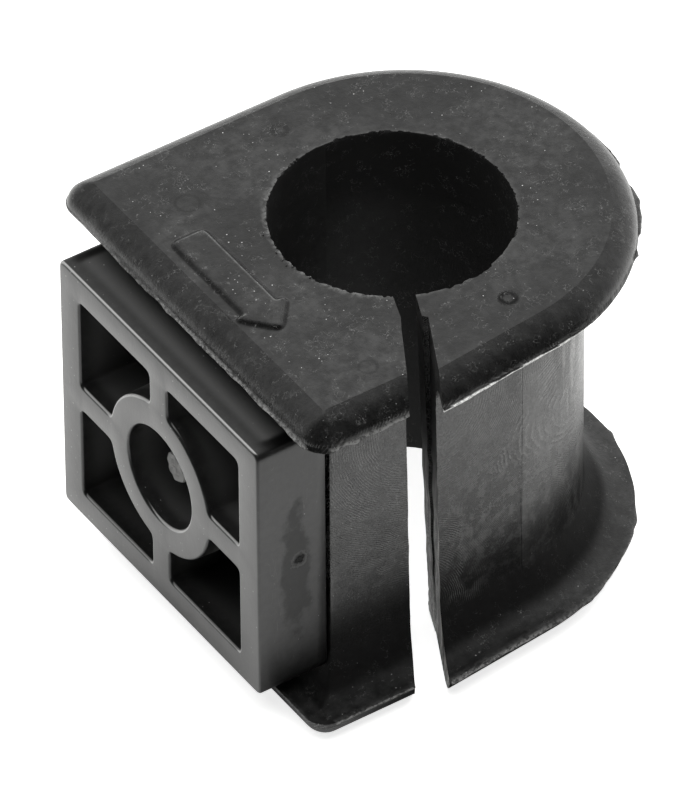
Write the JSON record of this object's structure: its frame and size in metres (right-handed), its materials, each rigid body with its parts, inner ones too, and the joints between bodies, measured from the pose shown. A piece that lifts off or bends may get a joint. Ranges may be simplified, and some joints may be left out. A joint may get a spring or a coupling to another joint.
{
  "type": "sway bar bushing",
  "caption": "Split rubber bush with a flange at each end and a ribbed plastic spacer block in its flat side, clamped round a vehicle's sway bar by a strap bracket.",
  "frame": {"origin": "on the bar's axis, at the bush's lower end face", "axes": "+Z along the bar, -X towards the spacer block's front face, -Y towards the side that is split"},
  "size_m": [0.0513, 0.047, 0.0412],
  "materials": {
    "black_rubber": "moulded, matt",
    "grey_plastic": "moulded, satin"
  },
  "bodies": {
    "root": {"rubber_bush": "black_rubber", "spacer_block": "grey_plastic"}
  },
  "joints": []
}
